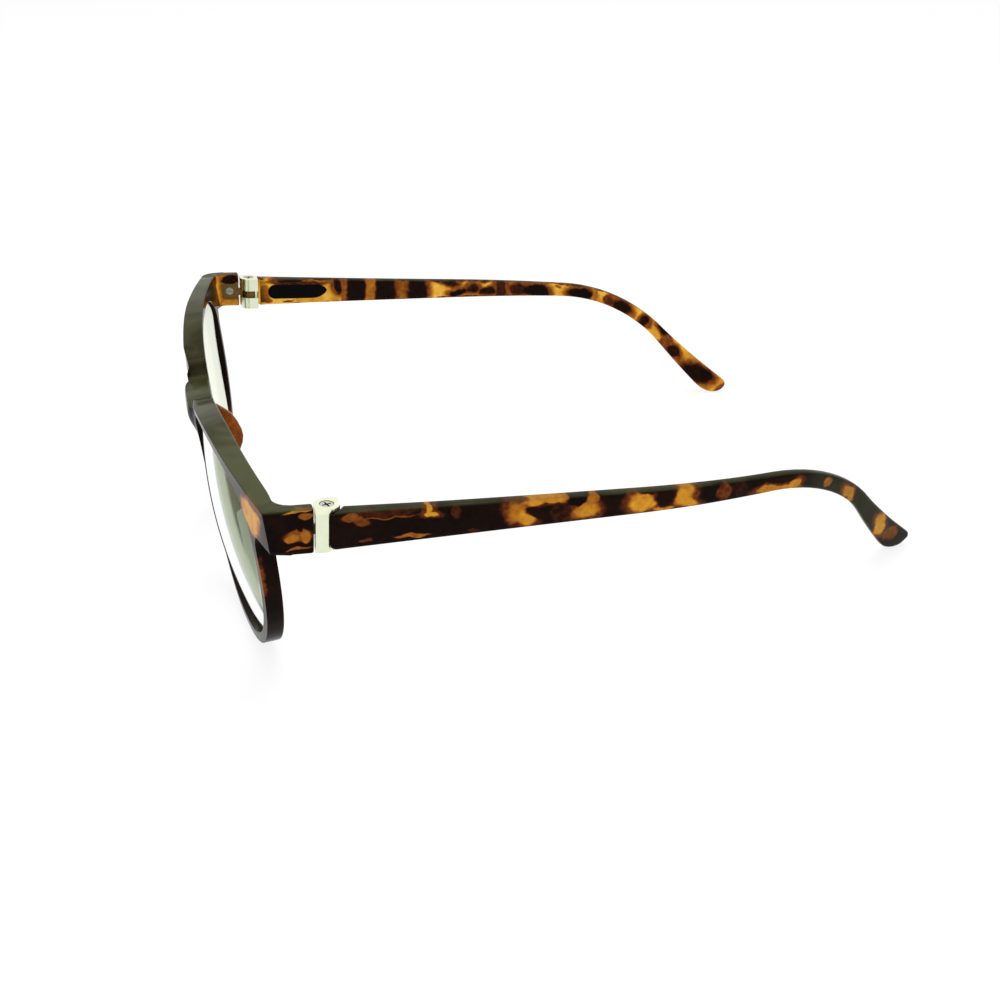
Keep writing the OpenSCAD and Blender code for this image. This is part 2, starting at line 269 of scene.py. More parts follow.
def bow_depth(u):
    """Depth of the bowed front at u, measured from the ends of the front."""
    return BOW_RADIUS - BOW_DEPTH - sqrt(BOW_RADIUS ** 2 - u ** 2)


def rear_depth(u, v):
    """Depth of the rear face, which is less bowed than the front face and tapers downwards."""
    bowed = REAR_RADIUS + FRONT_THICK - BOW_DEPTH - sqrt(REAR_RADIUS ** 2 - u ** 2)
    return bowed + v * sin(REAR_TAPER)


def bridge_bulge(out, v):
    """How far the rounded front of the bridge stands in front of the bow."""
    t = clamp((BULGE_END - out) / BULGE_RUN)
    fall = BRIDGE_ROUND - sqrt(max(0.0, BRIDGE_ROUND ** 2 - (v - BRIDGE_MID) ** 2))
    return (BRIDGE_OUT - fall) * t * t * (3 - 2 * t)


def brow_hollow(out, v):
    """How far the upper edge of the front falls back beside the bridge."""
    beside = clamp((out - HOLLOW_FROM) / HOLLOW_RISE) * clamp((HOLLOW_TO - out) / HOLLOW_FALL)
    return HOLLOW_DEEP * beside * clamp(v - brow_at(out) + 1.0)


def row_of(point):
    """Height of a pattern point between the bottom, 0, and the top, 1, of an end piece."""
    return (point[1] - END_LOW) / (brow_at(abs(point[0])) - END_LOW)


def front_place(point):
    """Where a pattern point (u, v, layer) lies on the glasses."""
    u, v, layer = point
    out = abs(u)
    side = 1 if u >= 0 else -1
    if layer == FRONT_LAYER:
        depth = bow_depth(out) - bridge_bulge(out, v) + brow_hollow(out, v)
        if u < -CORNER_FROM:
            turn = (out - CORNER_FROM) / CORNER * pi / 2
            behind = CORNER * (1 - cos(turn))
            fall = behind * (sin(FRONT_LEAN) + sin(TEMPLE_SLOPE))
            return ON_FRONT @ Vector((-CORNER_FROM - CORNER * sin(turn), depth + behind, v - fall))
        return ON_FRONT @ Vector((u, depth, v))
    rear = ON_FRONT @ Vector((out, rear_depth(out, v), v))
    if out > WING_FROM:
        at = ON_HINGE.inverted() @ rear
        height = straight_through(WING_HEIGHTS, row_of(point))
        across = max(0.0, min(FILLET, out - FILLET_FROM))
        bend = BEND_Y - sqrt(FILLET ** 2 - across ** 2) * (BEND_Y - at.y) / FILLET
        layer_y = {REAR_LAYER: bend, WING_LAYER: WING_REAR,
                   POCKET_FRONT: POCKET_Y, POCKET_BEND: BEND_Y}
        level = mix(at.z, height, clamp((out - WING_FROM) / WING_BLEND))
        rear = ON_HINGE @ Vector((at.x, layer_y[layer], level))
    return Vector((rear.x * side, rear.y, rear.z))


def widen(bm, verts, first, last, columns, spot):
    """Adds columns beyond a run of the outline; spot gives (u, v) from a column and a share."""
    chosen = {v for a, v in zip(STATIONS, verts) if first <= a <= last}
    edges = [e for e in bm.edges if e.verts[0] in chosen and e.verts[1] in chosen]
    for u in columns:
        heights = [v.co.y for e in edges for v in e.verts]
        low, high = min(heights), max(heights)
        edges = edges_of(bmesh.ops.extrude_edge_only(bm, edges=edges))
        for vert in {v for e in edges for v in e.verts}:
            vert.co.xy = spot(u, (vert.co.y - low) / (high - low))


def end_spot(u, t):
    return (u, mix(END_LOW, brow_at(u), t))


def bridge_spot(u, t):
    low_u = u * BRIDGE_LOW[-1][0] / BRIDGE_U
    return (mix(low_u, u, t), mix(smooth_through(BRIDGE_LOW, low_u), brow_at(u), t))


def lay_pattern(bm):
    """The flat pattern: a ring round each lens opening, the end pieces and the bridge."""
    inner = bmesh.ops.create_circle(bm, segments=len(STATIONS), radius=1)["verts"]
    outer = bmesh.ops.create_circle(bm, segments=len(STATIONS), radius=2)["verts"]
    for a, vert in zip(STATIONS, inner):
        vert.co = (*rim_point(a, *OPENING), 0)
    for a, vert in zip(STATIONS, outer):
        vert.co = (*outer_point(a), 0)
    bmesh.ops.bridge_loops(bm, edges=bm.edges[:])
    widen(bm, outer, END_FROM, END_TO, END_COLUMNS, end_spot)
    widen(bm, outer, BRIDGE_FROM, BRIDGE_TO, BRIDGE_COLUMNS, bridge_spot)
    bmesh.ops.mirror(bm, geom=bm.verts[:] + bm.edges[:] + bm.faces[:], axis="X", merge_dist=MERGE)
    bmesh.ops.remove_doubles(bm, verts=bm.verts, dist=MERGE)


def raise_layer(bm, faces, layer):
    """Extrudes faces of the pattern and puts their new points on a layer."""
    for vert in points_of(bmesh.ops.extrude_face_region(bm, geom=faces)):
        vert.co.z = layer


def in_pocket_rows(point):
    return POCKET_ROWS[0] - NEAR < row_of(point) < POCKET_ROWS[1] + NEAR


def sink_pockets(bm):
    """Sinks the pockets for the tongues, which are open to the rear."""
    mouth = [f for f in bm.faces if all(in_pocket_rows(v.co) for v in f.verts)
             and all(POCKET_FROM - NEAR < abs(v.co.x) < WING_IN + NEAR for v in f.verts)
             and all(v.co.z in (REAR_LAYER, WING_LAYER) for v in f.verts)]
    for vert in points_of(bmesh.ops.extrude_face_region(bm, geom=mouth)):
        row = row_of(vert.co)
        if vert.co.z == REAR_LAYER:
            vert.co.z = POCKET_BEND if abs(vert.co.x) > WING_IN - NEAR else POCKET_FRONT
        vert.co.x = POCKET_FLOOR if vert.co.x > 0 else -POCKET_FLOOR
        vert.co.y = mix(END_LOW, brow_at(POCKET_FLOOR), row)
    behind = [f for f in bm.faces if all(in_pocket_rows(v.co) for v in f.verts)
              and all(v.co.z == WING_LAYER and abs(v.co.x) < POCKET_FLOOR + NEAR for v in f.verts)]
    drop_faces(bm, mouth + behind)
    bmesh.ops.remove_doubles(bm, verts=bm.verts, dist=MERGE)


def on_pocket(point):
    """Whether a pattern point is on a pocket's walls or mouth."""
    if point.z in (POCKET_FRONT, POCKET_BEND):
        return True
    return (point.z in (REAR_LAYER, WING_LAYER) and in_pocket_rows(point)
            and POCKET_FROM - NEAR < abs(point.x) < POCKET_FLOOR + NEAR)


def front_mesh():
    bm = bmesh.new()
    lay_pattern(bm)
    raise_layer(bm, bm.faces[:], REAR_LAYER)
    wings = [f for f in bm.faces
             if all(v.co.z == REAR_LAYER and abs(v.co.x) > WING_IN - NEAR for v in f.verts)]
    raise_layer(bm, wings, WING_LAYER)
    drop_faces(bm, wings)
    sink_pockets(bm)

    layer_of = {vert: round(vert.co.z) for vert in bm.verts}
    pocket = {vert for vert in bm.verts if on_pocket(vert.co)}
    rim_line = [Vector((side * p[0], p[1])) for side in (1, -1)
                for p in (rim_point(a, *OPENING) for a in STATIONS)]
    opening = {vert for vert in bm.verts if min((vert.co.xy - p).length for p in rim_line) < NEAR}
    for vert in bm.verts:
        vert.co = front_place(vert.co)
    bmesh.ops.recalc_face_normals(bm, faces=bm.faces)

    def round_where(test, size):
        """Rounds sharp edges whose two points pass; points that a rounding made are left out."""
        known = {vert: layer for vert, layer in layer_of.items() if vert.is_valid}
        edges = [e for e in sharp_edges(bm, SHARP) if all(v in known for v in e.verts)]
        round_edges(bm, [e for e in edges if all(test(v, known[v]) for v in e.verts)], size)

    round_where(lambda vert, layer: vert in opening, OPENING_ROUND)
    round_where(lambda vert, layer: layer != FRONT_LAYER and vert not in pocket, REAR_ROUND)
    round_where(lambda vert, layer: layer == FRONT_LAYER, FRONT_ROUND)
    part_narrow_strips(bm)
    face_outwards(bm)
    return bm


# Nose pads, moulded with the front, from their side outline of depth and height
PAD_LINE = [(1, -9.6), (2.8, -10.9), (4.4, -12.2), (5.8, -13.6), (7.2, -15.2), (8.2, -17.4),
            (8.8, -19.6), (8.9, -21.2), (8.5, -23.0), (7.5, -25.0), (5.8, -27.0), (3.6, -28.6),
            (1, -29.2), (0.2, -24), (0.0, -19), (0.2, -13)]
PAD_RINGS = [(0.0, 0.80), (0.25, 0.95), (0.8, 1.0), (2.0, 1.0), (2.6, 0.94), (2.9, 0.78)]
PAD_SPLAY = radians(8)
PAD_SPREAD = radians(5)
PAD_X = 7.6
PAD_BACK = 1.2


def pad_mesh():
    bm = bmesh.new()
    mid = Vector((sum(p[0] for p in PAD_LINE), sum(p[1] for p in PAD_LINE))) / len(PAD_LINE)
    rings = ring_tube(bm, len(PAD_LINE), len(PAD_RINGS))
    for ring, (across, grow) in zip(rings, PAD_RINGS):
        for vert, (d, v) in zip(ring, PAD_LINE):
            flat = mid + (Vector((d, v)) - mid) * grow
            vert.co = (across, flat.x, flat.y)
    close_ends(bm)
    turn = (Matrix.Translation((PAD_X, PAD_BACK - BOW_DEPTH, 0))
            @ Matrix.Rotation(-PAD_SPLAY, 4, "Z") @ Matrix.Rotation(-PAD_SPREAD, 4, "Y"))
    bmesh.ops.transform(bm, matrix=ON_FRONT @ turn, verts=bm.verts)
    return bm


# Lenses: part of a sphere that stands in front of the bow in the middle, cut to the opening
LENS_RADIUS = 90.0
LENS_THICK = 1.8
LENS_MID_U = 34.5
LENS_MID_V = -17.4
LENS_TURN = radians(6.5)
LENS_OUT = 1.45
LENS_UNDER_RIM = 0.15
LENS_STEPS = 48


def lens_mesh():
    bm = bmesh.new()
    bmesh.ops.create_grid(bm, x_segments=LENS_STEPS, y_segments=LENS_STEPS, size=1)
    size = [s + LENS_UNDER_RIM for s in OPENING]
    for vert in bm.verts:
        x, y = vert.co.x, vert.co.y
        disc = Vector((x * sqrt(1 - y * y / 2), y * sqrt(1 - x * x / 2)))
        a = degrees(atan2(disc.y, disc.x)) if disc.length > 0 else 0
        edge = Vector(rim_point(a, *size)) - Vector(RIM_MID)
        flat = Vector(RIM_MID) + edge * min(1.0, disc.length)
        vert.co = (flat.x, 0, flat.y)
    rear = set(points_of(bmesh.ops.extrude_face_region(bm, geom=bm.faces[:])))
    bmesh.ops.recalc_face_normals(bm, faces=bm.faces)
    place = (Matrix.Translation((LENS_MID_U, bow_depth(LENS_MID_U), LENS_MID_V))
             @ Matrix.Rotation(LENS_TURN, 4, "Z") @ Matrix.Translation((0, -LENS_OUT, 0)))
    flatten = place.inverted()
    for vert in bm.verts:
        here = flatten @ Vector((vert.co.x, bow_depth(LENS_MID_U), vert.co.z))
        radius = LENS_RADIUS - (LENS_THICK if vert in rear else 0)
        depth = LENS_RADIUS - sqrt(radius ** 2 - here.x ** 2 - here.z ** 2)
        vert.co = ON_FRONT @ place @ Vector((here.x, depth, here.z))
    face_outwards(bm)
    return bm


# Temples, swept along a centre line
TEMPLE_LEN = 144.5
TEMPLE_MID = -4.25
STRAIGHT = 88.5
EAR_RADIUS = 42.0
EAR_ANGLE = radians(42)
WRAP_FROM, WRAP_TO, WRAP_RADIUS = 58.0, 112.0, 195.0
TOE_IN = 0.03
TEMPLE_HIGH = [(0, 3.85), (34, 2.95), (68, 2.25), (90, 1.85), (117, 1.8), (121, 1.78), (126, 2.0),
               (133, 2.5), (139, 3.15), (142.4, 3.55), (144.5, 3.7)]
TEMPLE_LOW = [(0, 3.65), (34, 2.95), (68, 2.3), (90, 1.85), (117, 1.8), (121, 1.95), (126, 2.35),
              (133, 2.75), (139, 2.9), (142.4, 2.85), (144.5, 2.7)]
THICK_AT = [(0, 3.0), (20, 2.5), (80, 2.2)]

# Length of a millimetre on the map that a temple's pattern follows
MAP_SCALE = 0.01

# Section of a temple: steps of a round corner, its radius, and the least half flat beside it
SECTION_STEPS = 4
EDGE_ROUND = 0.7
EDGE_SPARE = 0.02

# The front end follows the cap's slanting back; distances are from the pivot and across from it
NOSE_OUTSIDE, NOSE_INSIDE = 0.15, 2.4
SLANT_FROM, SLANT_WIDE = 2.9, 1.95
NOSE_ROUND = 0.8

# The ear end has a large corner below, a small one on top, and rounded side edges
TIP_LOW_LONG, TIP_LOW_HIGH = 6.2, 4.6
TIP_TOP_ROUND = 1.6
TIP_SIDE_ROUND = 0.7

NOSE_RUNS = [0.0, 0.15, 0.4, 0.8]
ARM_RUNS = [3.0 + 2.6 * i for i in range(53)]
TIP_RUNS = [TEMPLE_LEN - left for left in (4.8, 3.9, 3.1, 2.4, 1.8, 1.3, 0.9, 0.55, 0.3, 0.12, 0.0)]


def centre_at(run):
    """Distance back, height and downward turn of the centre line at a run along the temple."""
    turn = max(0.0, min(EAR_ANGLE, (run - STRAIGHT) / EAR_RADIUS))
    rest = max(0.0, run - STRAIGHT - EAR_RADIUS * EAR_ANGLE)
    along = min(run, STRAIGHT) + EAR_RADIUS * sin(turn) + rest * cos(turn)
    height = TEMPLE_MID - EAR_RADIUS * (1 - cos(turn)) - rest * sin(turn)
    return along, height, turn


def outer_face_at(run):
    bent = min(run, WRAP_TO) - WRAP_FROM
    wrap = 0.0
    if bent > 0:
        wrap = (bent * bent / 2 + bent * max(0.0, run - WRAP_TO)) / WRAP_RADIUS
    return END_X - HINGE.x - TOE_IN * run - wrap


def temple_thick(run):
    return straight_through(THICK_AT, run)


def nose_start(x):
    """Where the front end of a temple begins, behind the cap's slanting back."""
    return mix(NOSE_OUTSIDE, NOSE_INSIDE, clamp((SLANT_FROM - x) / SLANT_WIDE))


def rounded_box(low_x, high_x, low_z, high_z, r):
    """Points of a box outline with round corners, counter-clockwise."""
    points = []
    corners = ((high_x - r, high_z - r, 0), (low_x + r, high_z - r, 90),
               (low_x + r, low_z + r, 180), (high_x - r, low_z + r, 270))
    for cx, cz, start in corners:
        for i in range(SECTION_STEPS + 1):
            a = radians(start + 90 * i / SECTION_STEPS)
            points.append((cx + r * cos(a), cz + r * sin(a)))
    return points


def quarter(left, long, high):
    """Drop of a quarter ellipse of that length and height, where left is the rest of its length."""
    return high * (1 - sqrt(1 - clamp((long - left) / long) ** 2))


def temple_section(run):
    """Outline of the temple at a run along it, as (across, up) from its centre line."""
    left = TEMPLE_LEN - run
    pinch = quarter(run, NOSE_ROUND, NOSE_ROUND)
    low = quarter(left, TIP_LOW_LONG, TIP_LOW_HIGH) - smooth_through(TEMPLE_LOW, run) + pinch
    high = smooth_through(TEMPLE_HIGH, run) - quarter(left, TIP_TOP_ROUND, TIP_TOP_ROUND) - pinch
    thin = quarter(left, TIP_SIDE_ROUND, TIP_SIDE_ROUND)
    out = outer_face_at(run)
    inner = out - temple_thick(run)
    r = min(EDGE_ROUND, (high - low) / 2 - EDGE_SPARE, (out - inner) / 2 - thin - EDGE_SPARE)
    return rounded_box(inner + thin, out - thin, low, high, r)


def temple_mesh():
    bm = bmesh.new()
    along_map = bm.loops.layers.uv.new("along")
    spot = {}
    runs = NOSE_RUNS + ARM_RUNS + TIP_RUNS
    rings = ring_tube(bm, 4 * (SECTION_STEPS + 1), len(runs))
    for run, ring in zip(runs, rings):
        along, height, turn = centre_at(run)
        for vert, (x, h) in zip(ring, temple_section(run)):
            y = nose_start(x) + run if run < 1 else along + h * sin(turn)
            vert.co = ON_HINGE @ Vector((x, y, height + h * cos(turn)))
            spot[vert] = (run * MAP_SCALE, h * MAP_SCALE)
    close_ends(bm)
    for face in bm.faces:
        for loop in face.loops:
            loop[along_map].uv = spot[loop.vert]
    return bm


# Black spring box in the inner face of a temple, with the depth and inset of its cover's rings
BOX_FROM, BOX_TO = 5.1, 21.0
BOX_HALF = 1.95
BOX_Z = -4.15
BOX_PROUD = 0.12
BOX_NOSE = 1.7
BOX_TAIL = 3.6
BOX_TAIL_POWER = 1.3
BOX_TAIL_DROOP = 0.25
BOX_NOSE_STEPS, BOX_TAIL_STEPS = 12, 16
BOX_RINGS = [(1.7, 0.0), (0.12, 0.0), (0.0, 0.12), (0.0, 0.5)]


def box_outline():
    """Outline of the cover as (distance back, height): a round nose and a pointed tail."""
    outline = []
    for i in range(BOX_NOSE_STEPS + 1):
        a = radians(90 + 180 * i / BOX_NOSE_STEPS)
        outline.append((BOX_FROM + BOX_NOSE * (1 + cos(a)), BOX_HALF * sin(a)))
    for i in range(BOX_TAIL_STEPS + 1):
        a = radians(-90 + 180 * i / BOX_TAIL_STEPS)
        taper = abs(sin(a)) ** BOX_TAIL_POWER * (1 if a > 0 else -1)
        height = BOX_HALF * taper + BOX_TAIL_DROOP * cos(a)
        outline.append((BOX_TO - BOX_TAIL * (1 - cos(a)), height))
    return outline


def box_mesh():
    bm = bmesh.new()
    outline = box_outline()
    mid_y = (BOX_FROM + BOX_TO) / 2
    for ring, (deep, inset) in zip(ring_tube(bm, len(outline), len(BOX_RINGS)), BOX_RINGS):
        for vert, (y, h) in zip(ring, outline):
            face = outer_face_at(y) - temple_thick(y) - BOX_PROUD
            y_in = y + (inset if y < mid_y else -inset)
            h_in = h * (1 - inset / BOX_HALF)
            vert.co = ON_HINGE @ Vector((face + deep, y_in, BOX_Z + h_in))
    close_ends(bm)
    return bm


# Materials
def new_material(name):
    material = bpy.data.materials.new(name)
    material.use_nodes = True
    nodes = material.node_tree.nodes
    nodes.clear()
    return nodes, material


def add_node(nodes, kind, settings=(), **values):
    """A node with its settings; each value, or link, goes to the socket of that name or number."""
    made = nodes.new(kind)
    for key, value in dict(settings).items():
        setattr(made, key, value)
    for key, value in values.items():
        by_number = key[0] == "n" and key[1:].isdigit()
        socket = made.inputs[int(key[1:]) if by_number else key.replace("_", " ")]
        if isinstance(value, bpy.types.NodeSocket):
            made.id_data.links.new(value, socket)
        else:
            socket.default_value = value
    return made


def number_sum(nodes, operation, *terms, **settings):
    """Result of one operation on numbers."""
    numbered = {f"n{i}": term for i, term in enumerate(terms)}
    made = add_node(nodes, "ShaderNodeMath", {"operation": operation, **settings}, **numbered)
    return made.outputs["Value"]


def vector_sum(nodes, operation, *terms, result="Vector", **values):
    """Result of one operation on vectors."""
    numbered = {f"n{i}": term for i, term in enumerate(terms)}
    made = add_node(nodes, "ShaderNodeVectorMath", {"operation": operation}, **numbered, **values)
    return made.outputs[result]


def part_of(nodes, vector, axis):
    return add_node(nodes, "ShaderNodeSeparateXYZ", Vector=vector).outputs[axis]


def stretch(nodes, value, **ends):
    """Stretches a range, 0 to 1 where nothing else is said, to another."""
    return add_node(nodes, "ShaderNodeMapRange", Value=value, **ends).outputs["Result"]


def soft_stretch(nodes, value, **ends):
    """Stretches a range to another with soft ends."""
    made = add_node(nodes, "ShaderNodeMapRange", {"interpolation_type": "SMOOTHSTEP"},
                    Value=value, **ends)
    return made.outputs["Result"]


def mixed(nodes, share, low, high, kind="RGBA"):
    """Colour, or number of the kind FLOAT, between low and high."""
    made = add_node(nodes, "ShaderNodeMix", {"data_type": kind}, Factor=share, A=low, B=high)
    return made.outputs["Result"]


def mixed_shader(nodes, share, low, high):
    return add_node(nodes, "ShaderNodeMixShader", Fac=share, n1=low, n2=high).outputs["Shader"]


def object_place(nodes):
    return nodes.new("ShaderNodeTexCoord").outputs["Object"]


def cloud(nodes, place, **values):
    """A loose pattern between 0 and 1."""
    return add_node(nodes, "ShaderNodeTexNoise", Vector=place, **values).outputs["Fac"]


def finish(nodes, colour, pattern, rough, bump, **values):
    """Ends a material with its colour; a pattern gives its roughness, from and to, and its bump,
    which has a strength and a depth."""
    roughness = stretch(nodes, pattern, To_Min=rough[0], To_Max=rough[1])
    normal = add_node(nodes, "ShaderNodeBump", Height=pattern, Strength=bump[0], Distance=bump[1])
    shader = add_node(nodes, "ShaderNodeBsdfPrincipled", Base_Color=colour, Roughness=roughness,
                      Normal=normal.outputs["Normal"], **values)
    add_node(nodes, "ShaderNodeOutputMaterial", Surface=shader.outputs["BSDF"])


# Blots of the left temple: distance along it, height, half length, half height, slant, tone
LEFT_BLOTS = [
    (8.5, 2.7, 7.5, 0.9, 0, 0.26), (3.4, 2.7, 1.7, 0.8, 0, 0.46), (5.6, 1.5, 1.8, 0.9, -20, 0.42),
    (10.5, 1.95, 5.5, 0.16, 0, 0.44), (17.6, 3.2, 0.6, 1.3, 0, 0.75),
    (18.0, 1.75, 1.25, 0.55, 0, 0.79), (22.5, 1.9, 1.0, 1.3, 0, 0.30),
    (14.8, -2.15, 3.5, 0.5, 0, 0.56), (6.4, -2.15, 1.1, 0.4, 0, 0.36),
    (25.8, -2.2, 1.8, 0.35, 0, 0.26), (34.2, 0.6, 2.3, 2.0, -35, 0.62),
    (36.0, -0.8, 2.2, 1.7, -35, 0.75), (39.5, 2.6, 4.6, 0.75, 0, 0.73),
    (37.5, 2.0, 1.6, 0.9, 0, 0.75), (38.0, -0.3, 2.9, 0.95, -30, 0.16),
    (42.3, -0.1, 2.2, 2.0, 0, 0.24), (47.4, -0.4, 2.8, 1.75, 0, 0.70),
    (48.0, -0.9, 1.7, 1.1, 0, 0.73), (48.9, 1.8, 1.3, 1.4, 0, 0.60),
    (45.7, 2.1, 1.8, 1.05, 0, 0.02), (58.9, 0.1, 3.0, 2.1, 0, 0.74),
    (59.0, -0.5, 2.4, 1.4, 0, 0.79), (59.6, 2.3, 1.7, 0.6, 0, 0.20), (67.9, 0.6, 2.1, 2.4, 0, 0.74),
    (68.6, -0.9, 2.7, 1.0, -12, 0.77), (67.4, 0.2, 1.2, 1.6, 0, 0.77),
    (63.6, -1.6, 2.6, 0.4, 0, 0.70), (63.6, 0.75, 2.3, 1.95, 0, 0.15),
    (76.6, 0.2, 1.9, 2.1, 0, 0.37), (80.2, 0.1, 1.9, 1.9, 0, 0.22),
    (89.8, -1.1, 5.6, 0.75, 0, 0.68), (93.8, -0.4, 1.7, 1.1, 20, 0.70),
    (87.0, -0.9, 2.6, 0.8, 0, 0.66), (89.2, 0.9, 4.2, 0.75, 0, 0.14),
    (103.4, 0.25, 1.15, 1.25, 0, 0.56), (111.6, -0.1, 2.4, 1.3, -12, 0.70),
    (113.6, -1.1, 1.8, 0.9, -25, 0.68), (130.2, 0.2, 3.0, 1.5, -18, 0.77),
    (132.0, -0.8, 2.2, 1.5, -20, 0.83), (137.2, 0.4, 2.9, 2.2, 0, 0.44)]

# Blots of the right temple, which is amber with dark blots
RIGHT_BLOTS = [
    (4.3, -0.3, 1.6, 2.2, 0, 0.58), (4.5, -2.2, 1.8, 0.8, 0, 0.50), (11.0, 3.15, 3.3, 0.5, 0, 0.20),
    (18.5, 3.2, 2.6, 0.3, 0, 0.58), (13.5, 2.45, 6.5, 0.4, 0, 0.30),
    (10.4, -2.65, 1.5, 0.3, 0, 0.40), (23.9, 1.4, 0.95, 2.2, 12, 0.16),
    (25.8, 0.3, 0.9, 9.0, 0, 0.52), (29.2, 0.5, 2.6, 9.0, 0, 0.12), (33.1, 0.0, 1.3, 9.0, 0, 0.60),
    (37.2, 0.0, 2.95, 9.0, 0, 0.12), (46.3, 0.0, 2.7, 9.0, 8, 0.13),
    (55.4, 1.9, 2.2, 0.95, -15, 0.22), (58.1, -0.9, 2.6, 0.85, 8, 0.08),
    (62.3, 0.2, 1.65, 1.4, 0, 0.22), (66.4, -0.6, 2.2, 1.1, 0, 0.18),
    (70.4, 0.0, 1.4, 9.0, 0, 0.26), (75.6, -0.1, 2.6, 1.6, 0, 0.25),
    (80.6, -0.1, 3.4, 1.5, 0, 0.05), (82.5, -1.0, 2.2, 0.8, 0, 0.05),
    (87.2, 0.95, 1.2, 0.4, 0, 0.58), (93.8, -0.3, 3.4, 1.5, 0, 0.05),
    (97.8, 0.0, 0.8, 9.0, 0, 0.60), (101.9, -0.2, 1.7, 1.6, 0, 0.38),
    (106.2, -0.3, 2.9, 1.7, 0, 0.15), (114.2, -0.4, 1.2, 1.7, 0, 0.20),
    (120.3, 1.0, 2.4, 0.8, -5, 0.18), (122.4, -0.6, 1.9, 2.0, 0, 0.44),
    (126.2, -0.9, 2.1, 1.4, 0, 0.20), (135.6, -0.6, 4.9, 2.6, 22, 0.16),
    (138.0, 0.9, 1.9, 1.3, 0, 0.04), (145.0, 0.5, 0.9, 4.0, 0, 0.06),
    (17.0, 3.65, 21.0, 0.3, -1.5, 0.12), (51.0, 2.85, 20.0, 0.3, -1.2, 0.12),
    (84.0, 2.15, 18.0, 0.25, -1.0, 0.12), (8.0, -3.55, 9.0, 0.3, 1, 0.34),
    (48.0, -2.8, 24.0, 0.25, 1.2, 0.30)]


# A halo is larger than its blot by a share and by a rim along and up
HALO_GROW = 1.3
HALO_LONG = 0.9
HALO_HIGH = 0.3


def with_halos(blots, tone_from, tone_to, halo):
    """Lays a wider blot of the tone halo under each one whose tone is between the two given."""
    wider = [(run, h, a * HALO_GROW + HALO_LONG, b * HALO_GROW + HALO_HIGH, slant, halo)
             for run, h, a, b, slant, tone in blots if tone_from <= tone <= tone_to]
    return wider + blots


def on_wing(x, y, z, rx, ry, rz, tone, side=1):
    """A blot on an end piece, given in the hinge's own axes."""
    place = ON_HINGE @ Vector((x, y, z))
    return ((place.x * side, place.y, place.z), (rx, ry, rz), 0, tone)


def on_rim(u, d, v, ru, rd, rv, tone, turn=0):
    """A blot on the front, given in the front's own axes and turned with the bow."""
    return (tuple(ON_FRONT @ Vector((u, d, v))), (ru, rd, rv), turn, tone)


# Blots of the front: place, half sizes, tone, and then the turn, or -1 for the right end
FRONT_BLOTS = [
    on_rim(62.0, -1.5, -3.4, 6.4, 0.8, 4.8, 0.80, 13),
    on_rim(64.5, -0.8, 0.8, 3.4, 0.7, 1.3, 0.42, 13),
    on_rim(70.0, 0.3, -8.6, 6.6, 3.0, 8.0, 0.05, 13),
    on_rim(58.7, -2.1, -16.5, 1.8, 1.1, 6.0, 0.42, 12),
    on_wing(2.9, -5.2, 0.4, 1.5, 2.9, 0.35, 0.66), on_wing(2.9, -3.9, -0.7, 1.5, 1.4, 0.7, 0.52),
    on_wing(2.9, -5.2, -4.3, 1.5, 2.7, 1.3, 0.50), on_wing(2.9, -6.4, -4.9, 1.5, 1.2, 0.8, 0.62),
    on_wing(2.9, -3.9, -4.5, 1.5, 1.0, 1.2, 0.60), on_wing(2.9, -4.9, -2.7, 1.5, 0.5, 1.1, 0.04),
    on_wing(2.9, -5.2, -6.7, 1.5, 2.5, 0.3, 0.52), on_wing(2.9, -4.6, -6.0, 1.5, 1.6, 0.3, 0.05),
    on_rim(-44, 2.0, -36, 14, 6, 8, 0.34), on_rim(-20, 2.0, -33, 11, 7, 11, 0.62),
    on_wing(0.5, -6.0, -3.5, 2.6, 7.5, 5.5, 0.62, -1),
    on_wing(0.5, -8.4, -3.0, 1.6, 0.9, 5.0, 0.84, -1),
    on_wing(0.5, -4.6, -0.6, 2.2, 2.4, 1.2, 0.16, -1),
    on_wing(0.5, -5.0, -7.0, 1.5, 2.6, 0.9, 0.76, -1),
    on_wing(1.4, -4.9, -3.9, 0.5, 3.0, 2.2, 0.36, -1),
    on_wing(-4.0, -9.4, -4.2, 1.6, 2.0, 2.2, 0.30, -1),
    on_wing(-7.0, -10.0, -2.6, 1.8, 2.4, 1.2, 0.22, -1)]

# A blot's soft edge in shares of its size: none of its tone beyond the first, all within the second
BLOT_EDGE = {"From_Min": 1.22, "From_Max": 0.72}

# Tones of the plastic from the darkest to the palest, and of the painted grey reflection of the sky
# on its upper faces
TORTOISE_RAMP = [(0.0, (0.004, 0.002, 0.0015, 1)), (0.2, (0.012, 0.004, 0.002, 1)),
                 (0.34, (0.07, 0.014, 0.004, 1)), (0.5, (0.22, 0.060, 0.009, 1)),
                 (0.66, (0.42, 0.15, 0.012, 1)), (0.82, (0.62, 0.28, 0.022, 1)),
                 (1.0, (0.84, 0.46, 0.07, 1))]
PAINTED_REFLECTION_DARK = (0.026, 0.024, 0.008, 1)
PAINTED_REFLECTION_PALE = (0.078, 0.084, 0.040, 1)
# Run along a temple's map over which the painted reflection all round the ear end grows to its full
# strength
EAR_REFLECTION_RUN = {"From_Min": 92 * MAP_SCALE, "From_Max": 104 * MAP_SCALE}

# How far the blots' borders wander: on the glasses in metres, and on a temple's map
RAGGED = 0.0016
RAGGED_ON_MAP = 0.02

# The plastics mirror only faintly where they are looked at straight
FAINT_GLOSS = 0.03


def in_metres(point):
    return tuple(c / MM_PER_METRE for c in point)


